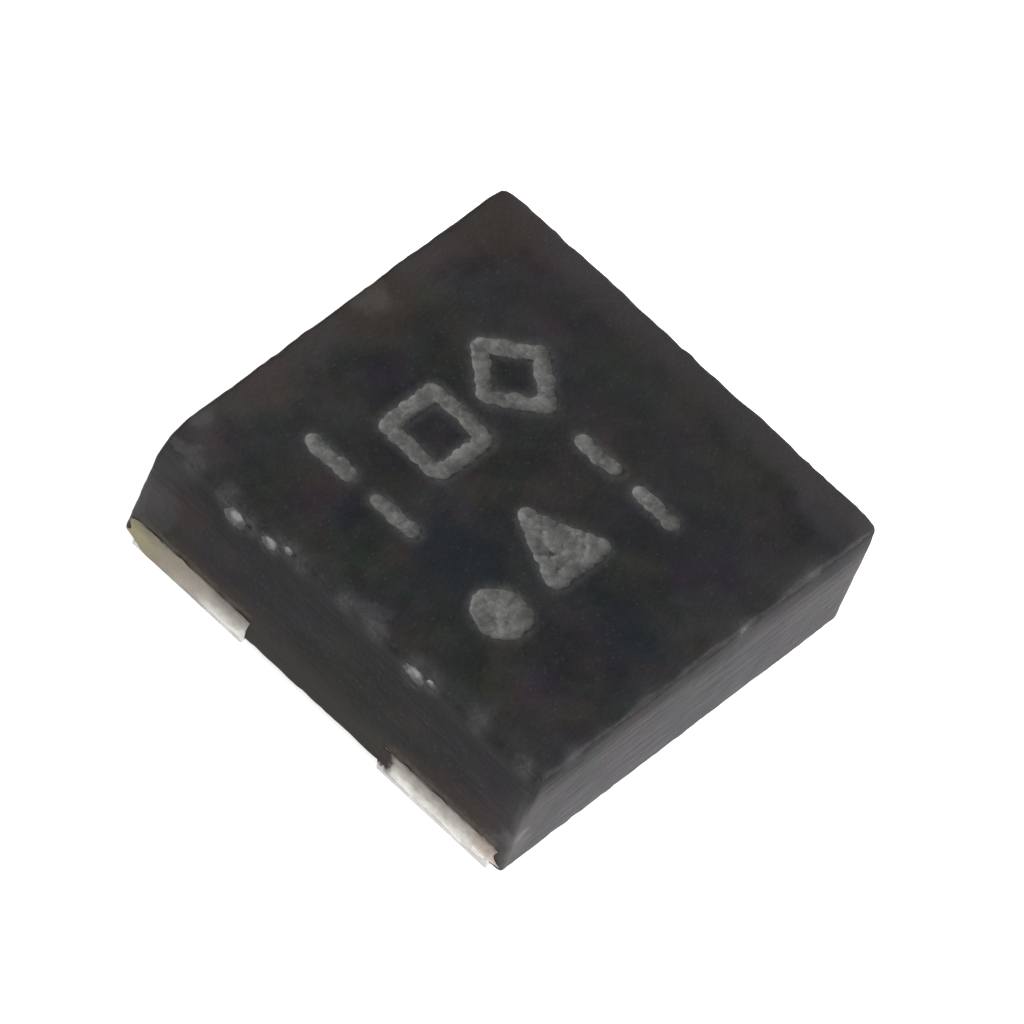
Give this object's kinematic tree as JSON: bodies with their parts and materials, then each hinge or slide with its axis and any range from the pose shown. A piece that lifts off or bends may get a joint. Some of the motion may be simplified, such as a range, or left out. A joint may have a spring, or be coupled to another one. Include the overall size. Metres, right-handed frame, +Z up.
{
  "type": "voltage regulator chip",
  "caption": "Miniature surface-mount voltage regulator chip: a flat square body of dark grey resin with plated leads on its underside and a round pin mark on top",
  "frame": {"origin": "Middle of the top face, where a placing machine's nozzle lifts the chip. The undersides of the leads and of the heat pad lie in Z = -0.32 mm.", "axes": "Z up, out of the top. The leads show at the two faces across X. Seen from above, pin 1 is at -X -Y and the pins count anticlockwise."},
  "size_m": [0.001, 0.001, 0.0003],
  "materials": {
    "resin": "matte",
    "plated_lead": "satin",
    "adhesive": "satin",
    "silicon": "polished",
    "gold_wire": "satin"
  },
  "bodies": {
    "root": {"resin_body": "resin", "lead_1_output": "plated_lead", "lead_2_ground": "plated_lead", "lead_3_enable": "plated_lead", "lead_4_input": "plated_lead", "heat_pad": "plated_lead", "die_film": "adhesive", "silicon_die": "silicon", "wire_1_output": "gold_wire", "wire_2_ground": "gold_wire", "wire_3_enable": "gold_wire", "wire_4_input": "gold_wire"}
  },
  "joints": []
}
